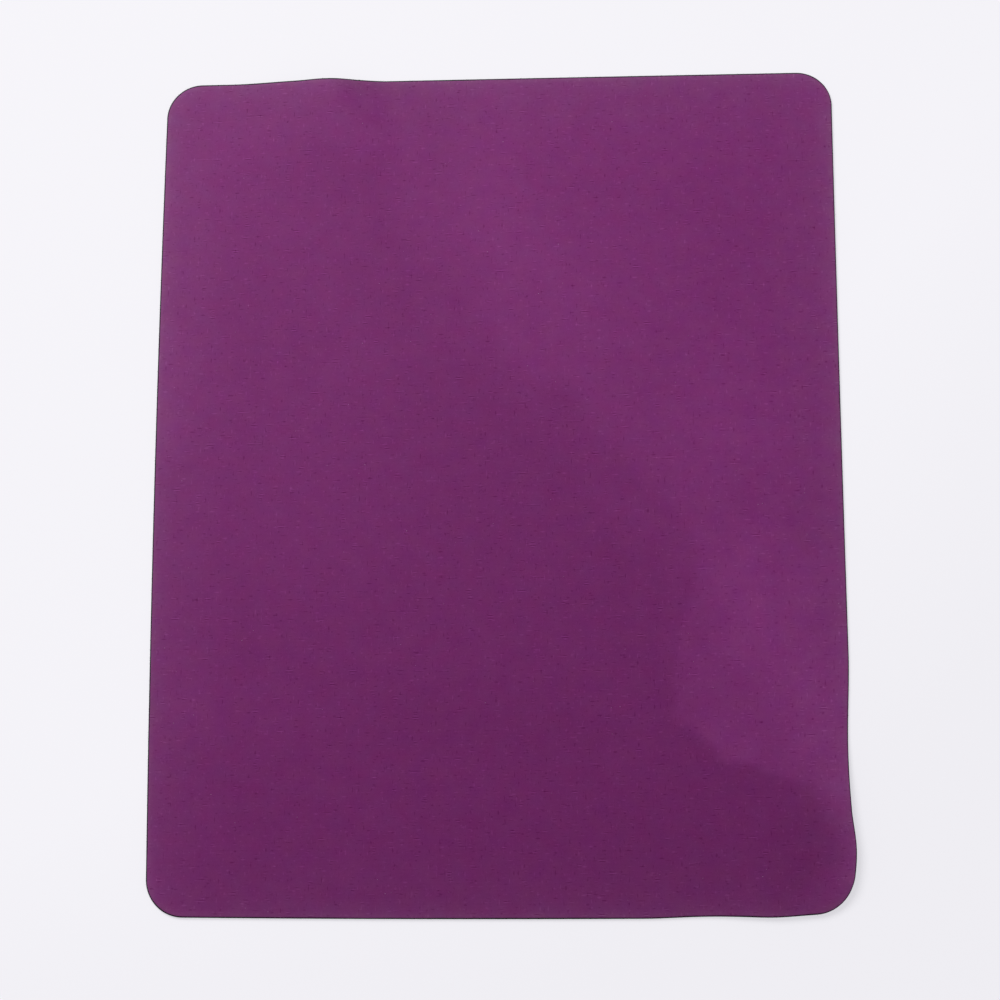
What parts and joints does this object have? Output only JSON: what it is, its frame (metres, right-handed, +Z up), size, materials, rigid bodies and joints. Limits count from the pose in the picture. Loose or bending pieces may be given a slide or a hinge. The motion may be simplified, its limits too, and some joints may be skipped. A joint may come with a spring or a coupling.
{
  "type": "mouse pad",
  "caption": "Thin soft mouse pad: an upright rounded rectangle of woven cloth bonded to a foamed rubber sheet, lying on a desk with its right edge curled up near one corner.",
  "frame": {"origin": "on the desk, under the middle of the pad's outline", "axes": "+Z up from the desk, +Y along the pad's long side towards its back edge, +X to the user's right"},
  "size_m": [0.211, 0.2606, 0.0041],
  "materials": {
    "purple_cloth": "matt woven polyester, deep purple",
    "bond_film": "milky hot-melt adhesive film",
    "dark_rubber": "matt foamed rubber, embossed underneath"
  },
  "bodies": {
    "root": {"surface_cloth": "purple_cloth", "bond_film": "bond_film", "rubber_base": "dark_rubber"}
  },
  "joints": []
}
